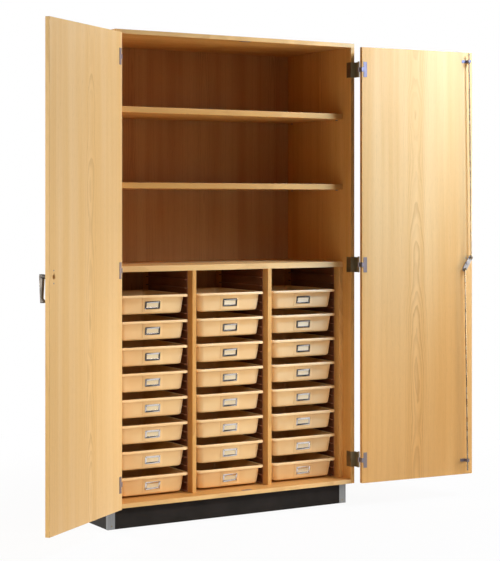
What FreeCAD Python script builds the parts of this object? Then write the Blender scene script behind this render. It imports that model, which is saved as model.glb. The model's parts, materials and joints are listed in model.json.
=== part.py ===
import FreeCAD, Part
import Sketcher
import math
import os
import re

# A two-door oak storage cabinet: shelves above, three columns of sliding tote trays below.
# Millimetres. X runs across the front, the front faces -Y and Z is up.
# The origin is on the floor, at the middle of the carcass. The doors rest standing open.

Vector = FreeCAD.Vector
Rotation = FreeCAD.Rotation
doc = FreeCAD.newDocument("ToteTrayCabinet")
sheet = doc.addObject("Spreadsheet::Sheet", "Sizes")

tray_rows = 8
columns = {"left": -1, "middle": 0, "right": 1}
sides = {"left": -1, "right": 1}

sizes = {
    # carcass
    "cabinet_width": 1219,
    "cabinet_depth": 559,
    "cabinet_height": 2134,
    "panel_thickness": 19,
    "back_thickness": 6,
    "back_rabbet": 10,
    "toe_height": 102,
    "toe_recess": 76,
    "base_rail_thickness": 19,
    "corner_plate_width": 34,
    "corner_plate_return": 13,
    "corner_screw_inset": 18,
    "corner_screw_height": 15,
    # shelves
    "shelf_thickness": 25,
    "shelf_recess": 68,
    "shelf_end_gap": 1,
    "lower_bay": 335,
    "middle_bay": 302,
    "shelf_pin_radius": 2.5,
    "shelf_pin_length": 20,
    "shelf_pin_seat": 10,
    "shelf_pin_inset": 45,
    # trays and what they slide on
    "tray_side_gap": 8.2,
    "tray_back_gap": 47,
    "tray_height": 83,
    "tray_wall": 2.5,
    "tray_draft": 7,
    "tray_corner": 24,
    "tray_base_round": 9,
    "tray_setback": 8,
    "tray_lift": 9,
    "tray_pitch": 112,
    "top_row_gap": 103,
    "rim_overhang": 13,
    "rim_height": 11,
    "rim_corner": 28,
    "rim_round": 3,
    "label_pad_width": 96,
    "label_pad_lift": 10,
    "label_pad_proud": 1.5,
    "label_width": 74,
    "label_height": 35,
    "label_border": 7,
    "label_thickness": 2,
    "label_corner": 4,
    "label_rise": 3,
    "runner_setback": 45,
    "runner_back_gap": 61,
    "runner_web": 3,
    "runner_reach": 16,
    "runner_rib": 4,
    "runner_gap": 0.4,
    # doors
    "door_thickness": 19,
    "door_clearance": 5,
    "door_meeting_gap": 3,
    "door_bottom_reveal": 6,
    "door_top_reveal": 19,
    "left_door_angle": 143,
    "right_door_angle": 176,
    # hinges
    "hinge_height": 70,
    "hinge_top_drop": 122,
    "hinge_bottom_rise": 112,
    "door_knuckle": 21,
    "knuckle_gap": 0.5,
    "knuckle_radius": 4.5,
    "hinge_pin_radius": 2.5,
    "hinge_tip": 3,
    "pivot_out": 4,
    "barrel_gap": 0.5,
    "leaf_thickness": 1.5,
    "leaf_slip": 0.7,
    "frame_leaf_depth": 34,
    "door_plate_inset": 8,
    "door_plate_width": 18,
    # screws
    "screw_length": 14,
    "screw_radius": 1.75,
    "screw_head_radius": 3.6,
    "hinge_screw_spacing": 52,
    # handles
    "handle_height": 1110,
    "handle_inset": 34,
    "handle_screw_spacing": 50,
    "rose_radius": 22,
    "rose_thickness": 4,
    "hub_radius": 9,
    "lever_gap": 25,
    "lever_root_depth": 18,
    "lever_tip_depth": 9,
    "lever_width": 16,
    "lever_head": 10,
    "lever_length": 102,
    "lever_foot_reach": 8,
    "lever_foot_height": 9,
    "lever_round": 3,
    "left_door_bore": 10,
    # latch in the right door
    "latch_angle": 33,
    "spindle_radius": 5,
    "spindle_clearance": 2,
    "cam_lift": 10,
    "cam_thickness": 4,
    "cam_throw": 33,
    "cam_end_radius": 11,
    "cam_screw_radius": 7,
    "cam_screw_height": 3,
    "rod_radius": 3.2,
    "rod_lift": 18,
    "rod_lean": 4,
    "rod_strike_gap": 5,
    "rod_eye_radius": 8,
    "rod_eye_thickness": 3,
    "rod_eye_gap": 0.4,
    "rivet_radius": 5,
    "rivet_height": 2,
    "guide_top_drop": 45,
    "guide_floor_rise": 54,
    "guide_block": 14,
    "guide_flange": 22,
    "guide_clearance": 0.7,
    "strike_width": 46,
    "strike_depth": 20,
    "strike_clearance": 1.3,
    "strike_bore_depth": 14,
    "strike_screw_offset": 16,
    # fits
    "fit": 0.05,
    "overrun": 5,
}

derived = {
    "front": "-cabinet_depth / 2",
    "half": "cabinet_width / 2",
    "inner_half": "half - panel_thickness",
    "back_face": "cabinet_depth / 2 - back_thickness",
    "top_under": "cabinet_height - panel_thickness",
    "floor_top": "toe_height + panel_thickness",
    "shelf_front": "front + shelf_recess",
    "shelf_depth": "back_face - shelf_front",
    "lower_shelf_under": "fixed_shelf_height + shelf_thickness + lower_bay",
    "upper_shelf_under": "lower_shelf_under + shelf_thickness + middle_bay",
    "column_width": "(inner_half - 2 * panel_thickness) * 2 / 3",
    "column_pitch": "column_width + panel_thickness",
    "tray_width": "column_width - 2 * tray_side_gap",
    "tray_length": "shelf_depth - tray_setback - tray_back_gap",
    "tray_rim_top": "floor_top + tray_lift + tray_height",
    "fixed_shelf_height": f"tray_rim_top + {tray_rows - 1} * tray_pitch + top_row_gap",
    "label_pad_height": "tray_height - label_pad_lift",
    "label_drop": "(tray_height + rim_height) / 2 - label_rise",
    "runner_length": "shelf_depth - runner_setback - runner_back_gap",
    "tray_centre": "shelf_front + tray_setback + tray_length / 2",
    "body_width": "tray_width - 2 * rim_overhang",
    "body_length": "tray_length - 2 * rim_overhang",
    "rib_pitch": "tray_pitch / 3",
    "rib_top": "tray_rim_top - rim_height - runner_gap",
    "door_inner": "front - door_clearance",
    "door_outer": "door_inner - door_thickness",
    "door_free_edge": "door_meeting_gap / 2",
    "door_width": "half - door_free_edge",
    "door_bottom": "toe_height + door_bottom_reveal",
    "door_height": "cabinet_height - door_top_reveal - door_bottom",
    "pivot_x": "half + pivot_out",
    "pivot_ahead_of_front": "door_clearance + door_thickness + knuckle_radius + barrel_gap",
    "pivot_y": "front - pivot_ahead_of_front",
    "hinge_top": "cabinet_height - hinge_top_drop",
    "hinge_bottom": "toe_height + hinge_bottom_rise",
    "hinge_middle": "(hinge_top + hinge_bottom) / 2",
    "frame_knuckle": "(hinge_height - door_knuckle) / 2",
    "frame_strip": "leaf_thickness + leaf_slip",
    "latch_x": "door_free_edge + handle_inset",
    "spindle_bore": "spindle_radius + spindle_clearance",
    "guide_upper_height": "top_under - guide_top_drop",
    "guide_lower_height": "floor_top + guide_floor_rise",
    "guide_bore": "rod_radius + guide_clearance",
    "strike_bore": "rod_radius + strike_clearance",
    "rod_y": "door_inner + rod_lift",
    "upper_rod_end": "top_under - leaf_thickness - rod_strike_gap",
    "lower_rod_end": "floor_top + leaf_thickness + rod_strike_gap",
    "pin_across": "cam_throw * sin(latch_angle)",
    "pin_along": "cam_throw * cos(latch_angle)",
    "upper_rod_slope": "(pin_across - rod_lean) / (upper_rod_end - handle_height - pin_along)",
    "lower_rod_slope": "(pin_across - rod_lean) / (handle_height - pin_along - lower_rod_end)",
    "upper_guide_x": "latch_x - rod_lean - (upper_rod_end - guide_upper_height) * upper_rod_slope",
    "lower_guide_x": "latch_x + rod_lean + (guide_lower_height - lower_rod_end) * lower_rod_slope",
}


def formula(text):
    """The text as a sheet expression: sizes are read from their cells, derived names are written out."""

    def expand(found):
        word = found.group()
        if word in derived:
            return "(" + formula(derived[word]) + ")"
        if word in sizes:
            return "Sizes." + word
        return word

    return re.sub(r"[a-z_]+", expand, str(text))


def size(text):
    return float(sheet.evalExpression(formula(text)))


def bind(thing, name, text):
    thing.setExpression(name, formula(text))


def fill_sheet():
    for row, (name, number) in enumerate(sizes.items(), start=1):
        sheet.set(f"A{row}", name)
        sheet.set(f"B{row}", str(number))
        sheet.setAlias(f"B{row}", name)
    doc.recompute()


axis_turns = {
    "x": Rotation(Vector(0, 1, 0), 90),
    "-x": Rotation(Vector(0, 1, 0), -90),
    "y": Rotation(Vector(1, 0, 0), -90),
    "-y": Rotation(Vector(1, 0, 0), 90),
    "z": Rotation(),
    "-z": Rotation(Vector(1, 0, 0), 180),
}
half_turn_z = Rotation(Vector(0, 0, 1), 180)
half_turn_y = Rotation(Vector(0, 1, 0), 180)


def place(thing, at, turn=None):
    if turn is not None:
        thing.Placement = FreeCAD.Placement(Vector(), turn)
    for axis, text in zip("xyz", at):
        bind(thing, f"Placement.Base.{axis}", text)
    return thing


def box(name, at, length, width, height):
    solid = doc.addObject("Part::Box", name)
    bind(solid, "Length", length)
    bind(solid, "Width", width)
    bind(solid, "Height", height)
    return place(solid, at)


def cylinder(name, radius, height, at, axis="z"):
    solid = doc.addObject("Part::Cylinder", name)
    bind(solid, "Radius", radius)
    bind(solid, "Height", height)
    return place(solid, at, axis_turns[axis])


def cone(name, base_radius, end_radius, height, at):
    solid = doc.addObject("Part::Cone", name)
    bind(solid, "Radius1", base_radius)
    bind(solid, "Radius2", end_radius)
    bind(solid, "Height", height)
    return place(solid, at)


def fuse(name, shapes):
    joined = doc.addObject("Part::MultiFuse", name)
    joined.Shapes = shapes
    joined.Refine = True
    return joined


def cut(name, base, tools):
    result = doc.addObject("Part::Cut", name)
    result.Base = base
    result.Tool = tools[0] if len(tools) == 1 else fuse(name + "_cutters", tools)
    return result


def group(name, shapes):
    gathered = doc.addObject("Part::Compound", name)
    gathered.Links = shapes
    return gathered


def copy_of(name, master, at, turn=None):
    return place(group(name, [master]), at, turn)


def origin_plane(body, role):
    return [plane for plane in body.Origin.OriginFeatures if plane.Role == role][0]


def new_sketch(body, name, role, height="0"):
    sketch = body.newObject("Sketcher::SketchObject", name)
    sketch.AttachmentSupport = [(origin_plane(body, role), "")]
    sketch.MapMode = "FlatFace"
    bind(sketch, "AttachmentOffset.Base.z", height)
    return sketch


def add_dimension(sketch, name, constraint, text):
    index = sketch.addConstraint(constraint)
    sketch.renameConstraint(index, name)
    bind(sketch, "Constraints." + name, text)


def draw_rounded_rectangle(sketch, prefix, width, length, radius):
    """A rectangle with round corners, centred on the sketch's origin."""
    half_width = size(width) / 2
    half_length = size(length) / 2
    corner = size(radius)
    middle_x = half_width - corner
    middle_y = half_length - corner
    corners = [(middle_x, middle_y), (-middle_x, middle_y), (-middle_x, -middle_y), (middle_x, -middle_y)]
    arcs = []
    for quarter, (x, y) in enumerate(corners):
        circle = Part.Circle(Vector(x, y, 0), Vector(0, 0, 1), corner)
        arcs.append(Part.ArcOfCircle(circle, quarter * math.pi / 2, (quarter + 1) * math.pi / 2))
    arc_ids = [sketch.addGeometry(arc, False) for arc in arcs]
    line_ids = []
    for quarter, arc in enumerate(arcs):
        next_start = arcs[(quarter + 1) % 4].StartPoint
        line_ids.append(sketch.addGeometry(Part.LineSegment(arc.EndPoint, next_start), False))
    for quarter in range(4):
        following = arc_ids[(quarter + 1) % 4]
        sketch.addConstraint(Sketcher.Constraint("Tangent", arc_ids[quarter], 2, line_ids[quarter], 1))
        sketch.addConstraint(Sketcher.Constraint("Tangent", line_ids[quarter], 2, following, 1))
    for quarter in (0, 2):
        sketch.addConstraint(Sketcher.Constraint("Horizontal", line_ids[quarter]))
        sketch.addConstraint(Sketcher.Constraint("Vertical", line_ids[quarter + 1]))
    for quarter in (1, 2, 3):
        sketch.addConstraint(Sketcher.Constraint("Equal", arc_ids[0], arc_ids[quarter]))
    sketch.addConstraint(Sketcher.Constraint("Symmetric", arc_ids[0], 3, arc_ids[2], 3, -1, 1))
    across = Sketcher.Constraint("DistanceX", line_ids[1], 1, line_ids[3], 1, 2 * half_width)
    along = Sketcher.Constraint("DistanceY", line_ids[2], 1, line_ids[0], 1, 2 * half_length)
    add_dimension(sketch, prefix + "_width", across, width)
    add_dimension(sketch, prefix + "_length", along, length)
    add_dimension(sketch, prefix + "_radius", Sketcher.Constraint("Radius", arc_ids[0], corner), radius)


def draw_polygon(sketch, points):
    """A closed outline through points given as pairs of formulas, each measured from the sketch's origin."""
    places = [Vector(size(x), size(y), 0) for x, y in points]
    edges = []
    for number, start in enumerate(places):
        end = places[(number + 1) % len(places)]
        edges.append(sketch.addGeometry(Part.LineSegment(start, end), False))
    for number, edge in enumerate(edges):
        following = edges[(number + 1) % len(edges)]
        sketch.addConstraint(Sketcher.Constraint("Coincident", edge, 2, following, 1))
    for number, (x, y) in enumerate(points):
        across = Sketcher.Constraint("DistanceX", -1, 1, edges[number], 1, places[number].x)
        along = Sketcher.Constraint("DistanceY", -1, 1, edges[number], 1, places[number].y)
        add_dimension(sketch, f"point_{number}_across", across, x)
        add_dimension(sketch, f"point_{number}_along", along, y)


def pad(body, name, sketch, length, downwards=False, taper=None):
    feature = body.newObject("PartDesign::Pad", name)
    feature.Profile = sketch
    feature.Reversed = downwards
    bind(feature, "Length", length)
    if taper is not None:
        bind(feature, "TaperAngle", taper)
    doc.recompute()
    return feature


def pocket(body, name, sketch, depth, upwards=False, taper=None):
    feature = body.newObject("PartDesign::Pocket", name)
    feature.Profile = sketch
    feature.Reversed = upwards
    bind(feature, "Length", depth)
    if taper is not None:
        bind(feature, "TaperAngle", taper)
    before = feature.BaseFeature.Shape.Volume
    doc.recompute()
    if feature.Shape.Volume >= before:
        raise RuntimeError(name + " cut nothing")
    return feature


def round_edges(body, name, base, wanted, radius):
    """Fillets the edges of the body's last feature that the test picks out."""
    picked = [f"Edge{number}" for number, edge in enumerate(base.Shape.Edges, start=1) if wanted(edge)]
    feature = body.newObject("PartDesign::Fillet", name)
    feature.Base = (base, picked)
    bind(feature, "Radius", radius)
    doc.recompute()
    return feature


def near(one, other):
    return abs(one - other) < size("fit")


# Shared screws: a countersunk head that lies flush, with its shank along +Z into the wood.

def make_screw():
    head = cone("screw_head", "screw_head_radius", "screw_radius", "leaf_thickness", ("0", "0", "0"))
    shank_length = "screw_length - leaf_thickness"
    shank = cylinder("screw_shank", "screw_radius", shank_length, ("0", "0", "leaf_thickness"))
    return fuse("screw", [head, shank])


def make_screw_cutter():
    mouth_radius = "screw_head_radius + fit"
    wide = cone("cutter_head", mouth_radius, "screw_radius + fit", "leaf_thickness", ("0", "0", "0"))
    mouth = cylinder("cutter_mouth", mouth_radius, "overrun", ("0", "0", "-overrun"))
    bore = cylinder("cutter_shank", "screw_radius + fit", "screw_length + fit", ("0", "0", "0"))
    return fuse("screw_cutter", [wide, mouth, bore])


def screw_set(prefix, places, axis):
    turn = axis_turns[axis]
    return [copy_of(f"{prefix}_screw_{n}", screw, at, turn) for n, at in enumerate(places)]


def cutter_set(prefix, places, axis):
    turn = axis_turns[axis]
    return [copy_of(f"{prefix}_cutter_{n}", screw_cutter, at, turn) for n, at in enumerate(places)]


hinge_levels = {"top": "hinge_top", "middle": "hinge_middle", "bottom": "hinge_bottom"}
screw_steps = {"upper": "hinge_screw_spacing / 2", "lower": "-hinge_screw_spacing / 2"}


def frame_screw_places(side):
    """Screws through the hinge leaves on the inner face of a cabinet side."""
    x = f"{side} * (inner_half - leaf_thickness)"
    y = "front + frame_leaf_depth / 2"
    return [(x, y, f"{level} + {step}") for level in hinge_levels.values() for step in screw_steps.values()]


def door_screw_places(side):
    """Screws through the hinge leaves on the inner face of a door, with the door shut."""
    x = f"{side} * (half - door_plate_inset - door_plate_width / 2)"
    y = "door_inner + leaf_thickness"
    return [(x, y, f"{level} + {step}") for level in hinge_levels.values() for step in screw_steps.values()]


def handle_screw_places(side):
    """Two screws from the inner face of a door hold the handle's rose."""
    x = f"{side} * latch_x"
    steps = ("handle_screw_spacing / 2", "-handle_screw_spacing / 2")
    return [(x, "door_inner", f"handle_height + {step}") for step in steps]


guide_places = {
    "upper": ("upper_guide_x", "guide_upper_height"),
    "lower": ("lower_guide_x", "guide_lower_height"),
}
guide_screw_places = [
    (f"{x} + guide_block / 2 + guide_flange / 2", "door_inner + leaf_thickness", height)
    for x, height in guide_places.values()
]
strike_steps = ("strike_screw_offset", "-strike_screw_offset")
top_strike_places = [
    (f"latch_x - rod_lean + {step}", "rod_y", "top_under - leaf_thickness")
    for step in strike_steps
]
floor_strike_places = [
    (f"latch_x + rod_lean + {step}", "rod_y", "floor_top + leaf_thickness")
    for step in strike_steps
]
toe_face = "front + toe_recess"
corner_screw_places = [
    (f"{side} * (half - corner_screw_inset)", f"{toe_face} - leaf_thickness", "corner_screw_height")
    for side in sides.values()
]


def shelf_pin_places(side):
    """Where the pins of both loose shelves enter a cabinet side: the start of each pin, inside the bore."""
    x = f"{side} * (inner_half + shelf_pin_seat)"
    rows = ("shelf_front + shelf_pin_inset", "back_face - shelf_pin_inset")
    levels = ("lower_shelf_under", "upper_shelf_under")
    return [(x, y, f"{level} - shelf_pin_radius - fit") for level in levels for y in rows]


# The carcass: sides, top, floor, back, shelves and the walls of the tray columns.

def make_side(name):
    side = sides[name]
    into = "x" if side > 0 else "-x"
    low = f"{side} * half - panel_thickness * {(side + 1) // 2}"
    height = "top_under - toe_height"
    at = (low, "front", "toe_height")
    blank = box(f"{name}_side_blank", at, "panel_thickness", "cabinet_depth", height)
    rabbet_low = f"{side} * inner_half + ({side} * back_rabbet - back_rabbet) / 2"
    rabbet = box(f"{name}_side_rabbet", (rabbet_low, "back_face", "toe_height - overrun"), "back_rabbet",
                 "back_thickness + overrun", f"{height} + 2 * overrun")
    cutters = [rabbet] + cutter_set(f"{name}_side", frame_screw_places(side), into)
    inwards = "-x" if side > 0 else "x"
    bore_length = "shelf_pin_seat + overrun"
    for number, at in enumerate(shelf_pin_places(side)):
        bore = cylinder(f"{name}_pin_bore_{number}", "shelf_pin_radius + fit", bore_length, at, inwards)
        cutters.append(bore)
    return cut(f"{name}_side", blank, cutters)


def make_top_panel():
    at = ("-half", "front", "top_under")
    blank = box("top_blank", at, "cabinet_width", "cabinet_depth", "panel_thickness")
    bore_at = ("latch_x - rod_lean", "rod_y", "top_under - overrun")
    bore = cylinder("top_strike_bore", "strike_bore", "strike_bore_depth + overrun", bore_at)
    return cut("top_panel", blank, [bore] + cutter_set("top", top_strike_places, "z"))


def make_bottom_panel():
    at = ("-inner_half", "front", "toe_height")
    depth = "cabinet_depth - back_thickness"
    blank = box("floor_blank", at, "2 * inner_half", depth, "panel_thickness")
    bore_at = ("latch_x + rod_lean", "rod_y", "floor_top + overrun")
    bore = cylinder("floor_strike_bore", "strike_bore", "strike_bore_depth + overrun", bore_at, "-z")
    return cut("bottom_panel", blank, [bore] + cutter_set("floor", floor_strike_places, "-z"))


def make_back_panel():
    at = ("-(inner_half + back_rabbet)", "back_face", "toe_height")
    width = "2 * (inner_half + back_rabbet)"
    return box("back_panel", at, width, "back_thickness", "top_under - toe_height")


def make_shelf(name, under, end_gap):
    at = (f"-inner_half + {end_gap}", "shelf_front", under)
    width = f"2 * (inner_half - {end_gap})"
    return box(name, at, width, "shelf_depth", "shelf_thickness")


def make_column_wall(name, low):
    height = "fixed_shelf_height - floor_top"
    return box(name, (low, "shelf_front", "floor_top"), "panel_thickness", "shelf_depth", height)


def make_shelf_pins():
    pins = []
    for name, side in sides.items():
        inwards = "-x" if side > 0 else "x"
        for number, at in enumerate(shelf_pin_places(side)):
            pin = cylinder(f"{name}_shelf_pin_{number}", "shelf_pin_radius", "shelf_pin_length", at, inwards)
            pins.append(pin)
    return group("shelf_pins", pins)


def make_runners():
    """Ribbed strips on both walls of each column: every third rib carries the rim of a tray."""
    wall = box("runner_web_strip", ("0", "-runner_length / 2", "floor_top"), "runner_web", "runner_length",
               "fixed_shelf_height - floor_top")
    first = "rib_top - 2 * rib_pitch - runner_rib"
    rib_count = int(size(f"(fixed_shelf_height - ({first})) / rib_pitch"))
    ribs = [wall]
    for number in range(rib_count):
        at = ("0", "-runner_length / 2", f"{first} + {number} * rib_pitch")
        ribs.append(box(f"runner_rib_{number}", at, "runner_reach", "runner_length", "runner_rib"))
    master = fuse("runner", ribs)
    centre = "shelf_front + runner_setback + runner_length / 2"
    runners = []
    for name, column in columns.items():
        left_at = (f"{column} * column_pitch - column_width / 2", centre, "0")
        right_at = (f"{column} * column_pitch + column_width / 2", centre, "0")
        runners.append(copy_of(f"{name}_column_left_runner", master, left_at))
        runners.append(copy_of(f"{name}_column_right_runner", master, right_at, half_turn_z))
    return group("tray_runners", runners)


# The toe base: front and rear rails with three between them, and an angle plate round each front corner.

def make_base():
    behind = f"{toe_face} + base_rail_thickness"
    between = "cabinet_depth - toe_recess - 2 * base_rail_thickness"
    front_at = ("-half", toe_face, "0")
    blank = box("base_front_blank", front_at, "cabinet_width", "base_rail_thickness", "toe_height")
    front_rail = cut("base_front_rail", blank, cutter_set("base_front", corner_screw_places, "y"))
    rear_at = ("-half", "cabinet_depth / 2 - base_rail_thickness", "0")
    rear_rail = box("base_rear_rail", rear_at, "cabinet_width", "base_rail_thickness", "toe_height")
    middle_at = ("-base_rail_thickness / 2", behind, "0")
    middle_rail = box("base_middle_rail", middle_at, "base_rail_thickness", between, "toe_height")
    side_rails = []
    for name, low in (("left", "-half"), ("right", "half - base_rail_thickness")):
        at = (low, behind, "0")
        side_rails.append(box(f"base_{name}_rail", at, "base_rail_thickness", between, "toe_height"))
    parts.extend([front_rail, rear_rail, middle_rail, group("base_side_rails", side_rails)])


def make_corner_plates():
    plates = []
    face = f"{toe_face} - leaf_thickness"
    flange_width = "corner_plate_width + leaf_thickness"
    return_depth = "corner_plate_return + leaf_thickness"
    flange_starts = {"left": "-half - leaf_thickness", "right": "half - corner_plate_width"}
    return_starts = {"left": "-half - leaf_thickness", "right": "half"}
    for number, name in enumerate(sides):
        flange_at = (flange_starts[name], face, "0")
        flange = box(f"{name}_plate_flange", flange_at, flange_width, "leaf_thickness", "toe_height")
        return_at = (return_starts[name], face, "0")
        turned = box(f"{name}_plate_return", return_at, "leaf_thickness", return_depth, "toe_height")
        blank = fuse(f"{name}_plate_blank", [flange, turned])
        cutters = cutter_set(f"{name}_plate", [corner_screw_places[number]], "y")
        plates.append(cut(f"{name}_corner_plate", blank, cutters))
    return group("base_corner_plates", plates)


def make_strikes():
    """Plates round the holes that the latch rods enter, on the top's underside and on the floor."""
    strikes = []
    levels = (("top", "latch_x - rod_lean", "top_under - leaf_thickness", top_strike_places, "z"),
              ("floor", "latch_x + rod_lean", "floor_top", floor_strike_places, "-z"))
    for name, x, low, screws, axis in levels:
        at = (f"{x} - strike_width / 2", "rod_y - strike_depth / 2", low)
        blank = box(f"{name}_strike_blank", at, "strike_width", "strike_depth", "leaf_thickness")
        bore_at = (x, "rod_y", f"{low} - overrun")
        bore = cylinder(f"{name}_strike_hole", "strike_bore", "leaf_thickness + 2 * overrun", bore_at)
        strikes.append(cut(f"{name}_strike", blank, [bore] + cutter_set(f"{name}_strike", screws, axis)))
    return group("latch_strikes", strikes)


def make_carcass_screws():
    screws = []
    for name, side in sides.items():
        screws += screw_set(f"{name}_frame", frame_screw_places(side), "x" if side > 0 else "-x")
    screws += screw_set("top_strike", top_strike_places, "z")
    screws += screw_set("floor_strike", floor_strike_places, "-z")
    screws += screw_set("corner", corner_screw_places, "y")
    return group("carcass_screws", screws)


# Hinges: wrap-round leaves whose barrel stands ahead of the door's outer face.
# A leaf is drawn for the right side, from the corner of the carcass, and turned over for the left.

def barrel_bore(name):
    at = ("pivot_out", "-pivot_ahead_of_front", "-hinge_height")
    return cylinder(name, "hinge_pin_radius + fit", "2 * hinge_height", at)


def make_frame_leaf():
    low = "-hinge_height / 2"
    inner = "-panel_thickness - leaf_thickness"
    plate = box("frame_plate", (inner, "-leaf_thickness", low), "leaf_thickness",
                "frame_leaf_depth + leaf_thickness", "hinge_height")
    web = box("frame_web", (inner, "-leaf_thickness", low), f"frame_strip + leaf_thickness - ({inner})",
              "leaf_thickness", "hinge_height")
    shy = "pivot_ahead_of_front - knuckle_radius - leaf_slip"
    strip = box("frame_strip_box", ("frame_strip", f"-({shy})", low), "leaf_thickness", shy, "hinge_height")
    shapes = [plate, web, strip]
    knuckle = "frame_knuckle - knuckle_gap / 2"
    for name, base in (("upper", "door_knuckle / 2 + knuckle_gap / 2"), ("lower", low)):
        at = ("pivot_out", "-pivot_ahead_of_front", base)
        shapes.append(cylinder(f"frame_knuckle_{name}", "knuckle_radius", knuckle, at))
        tongue_at = ("frame_strip", "-pivot_ahead_of_front", base)
        tongue = box(f"frame_tongue_{name}", tongue_at, "leaf_thickness", "pivot_ahead_of_front", knuckle)
        shapes.append(tongue)
    screw_x = "-panel_thickness - leaf_thickness"
    places = [(screw_x, "frame_leaf_depth / 2", step) for step in screw_steps.values()]
    cutters = cutter_set("frame_leaf", places, "x")
    return cut("frame_leaf", fuse("frame_leaf_blank", shapes), [barrel_bore("frame_leaf_bore")] + cutters)


def make_door_leaf():
    knuckle = "door_knuckle - knuckle_gap"
    low = f"-({knuckle}) / 2"
    inner_face = "-door_clearance"
    barrel_at = ("pivot_out", "-pivot_ahead_of_front", low)
    barrel = cylinder("door_knuckle_barrel", "knuckle_radius", knuckle, barrel_at)
    strip_depth = "pivot_ahead_of_front - door_clearance + leaf_thickness"
    strip = box("door_strip", ("0", "-pivot_ahead_of_front", low), "leaf_thickness", strip_depth, knuckle)
    bridge = box("door_bridge", ("0", "-pivot_ahead_of_front", low), "pivot_out", "leaf_thickness", knuckle)
    reach = "door_plate_inset + door_plate_width"
    neck_at = (f"-({reach})", inner_face, low)
    neck = box("door_neck", neck_at, f"{reach} + leaf_thickness", "leaf_thickness", knuckle)
    plate_at = (f"-({reach})", inner_face, "-hinge_height / 2")
    plate = box("door_plate", plate_at, "door_plate_width", "leaf_thickness", "hinge_height")
    screw_x = "-door_plate_inset - door_plate_width / 2"
    places = [(screw_x, "leaf_thickness - door_clearance", step) for step in screw_steps.values()]
    cutters = cutter_set("door_leaf", places, "-y")
    blank = fuse("door_leaf_blank", [barrel, strip, bridge, neck, plate])
    return cut("door_leaf", blank, [barrel_bore("door_leaf_bore")] + cutters)


def hinge_copies(prefix, master, names):
    copies = []
    for name in names:
        side = sides[name]
        turn = None if side > 0 else half_turn_y
        for level, height in hinge_levels.items():
            at = (f"{side} * half", "front", height)
            copies.append(copy_of(f"{prefix}_{name}_{level}", master, at, turn))
    return copies


def make_hinge_pins():
    shaft = cylinder("pin_shaft", "hinge_pin_radius", "hinge_height", ("0", "0", "-hinge_height / 2"))
    tip = cylinder("pin_tip", "knuckle_radius", "hinge_tip", ("0", "0", "hinge_height / 2"))
    master = fuse("hinge_pin", [shaft, tip])
    pins = []
    for name, side in sides.items():
        for level, height in hinge_levels.items():
            at = (f"{side} * pivot_x", "pivot_y", height)
            pins.append(copy_of(f"hinge_pin_{name}_{level}", master, at))
    return group("hinge_pins", pins)


# Doors and handles, drawn shut and then swung open about their hinge pins.

def door_swing(name):
    side = sides[name]
    pivot = Vector(side * size("pivot_x"), size("pivot_y"), 0)
    turn = Rotation(Vector(0, 0, 1), side * size(f"{name}_door_angle"))
    return FreeCAD.Placement(Vector(), turn, pivot)


def make_door(name, bores):
    side = sides[name]
    low = "door_free_edge" if side > 0 else "-half"
    at = (low, "door_outer", "door_bottom")
    blank = box(f"{name}_door_blank", at, "door_width", "door_thickness", "door_height")
    cutters = cutter_set(f"{name}_door", door_screw_places(side), "-y")
    cutters += cutter_set(f"{name}_handle", handle_screw_places(side), "-y")
    return cut(f"{name}_door", blank, cutters + bores)


def make_rose():
    disc = cylinder("rose_disc", "rose_radius", "rose_thickness", ("0", "0", "0"), "-y")
    bore_at = ("0", "overrun", "0")
    bore = cylinder("rose_bore", "hub_radius + fit", "rose_thickness + 2 * overrun", bore_at, "-y")
    return cut("rose", disc, [bore])


def make_lever():
    """A tapered grip that hangs from its hub, with a small foot turned back at the tip."""
    body = doc.addObject("PartDesign::Body", "lever_grip")
    sketch = new_sketch(body, "lever_outline", "YZ_Plane", "-lever_width / 2")
    outer = "-(lever_gap + lever_root_depth)"
    tip_back = "-(lever_gap + (lever_root_depth - lever_tip_depth) / 2)"
    points = [
        ("-lever_gap", "lever_head"),
        (outer, "lever_head"),
        (outer, "-lever_head"),
        (f"{tip_back} - lever_tip_depth", "-lever_length"),
        (f"{tip_back} + lever_foot_reach", "-lever_length"),
        (f"{tip_back} + lever_foot_reach", "lever_foot_height - lever_length"),
        (tip_back, "2 * lever_foot_height - lever_length"),
        ("-lever_gap", "-lever_head"),
    ]
    draw_polygon(sketch, points)
    grip = pad(body, "lever_pad", sketch, "lever_width")
    round_edges(body, "lever_fillet", grip, lambda edge: True, "lever_round")
    return body


def make_handle(name, master, spindle_length):
    """Hub and grip, with a spindle through the door where there is a latch to turn."""
    hub_length = "lever_gap + lever_root_depth / 2"
    hub = cylinder(f"{name}_hub", "hub_radius", hub_length, ("0", "0", "0"), "-y")
    shapes = [master, hub]
    if spindle_length is not None:
        shapes.append(cylinder(f"{name}_spindle", "spindle_radius", spindle_length, ("0", "0", "0"), "y"))
    return fuse(name, shapes)


def handle_place(name, turn=None):
    """Puts a handle drawn about its own hub onto the outer face of its door."""
    hub = Vector(sides[name] * size("latch_x"), size("door_outer"), size("handle_height"))
    return door_swing(name).multiply(FreeCAD.Placement(hub, turn or Rotation()))


def make_cam():
    """A flat double-ended cam on the spindle's end, seen from its own hub on the door's inner face."""
    bar_at = ("-cam_end_radius", "cam_lift", "-cam_throw")
    shapes = [box("cam_bar", bar_at, "2 * cam_end_radius", "cam_thickness", "2 * cam_throw")]
    for end, z in (("upper", "cam_throw"), ("lower", "-cam_throw")):
        shapes.append(cylinder(f"cam_end_{end}", "cam_end_radius", "cam_thickness", ("0", "cam_lift", z), "y"))
    blank = fuse("cam_blank", shapes)
    bore = cylinder("cam_bore", "spindle_radius + fit", "cam_thickness + 2 * overrun",
                    ("0", "cam_lift - overrun", "0"), "y")
    plate = cut("cam_plate", blank, [bore])
    cap_at = ("0", "cam_lift + cam_thickness", "0")
    cap = cylinder("cam_screw", "cam_screw_radius", "cam_screw_height", cap_at, "y")
    return group("latch_cam", [plate, cap])


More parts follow.
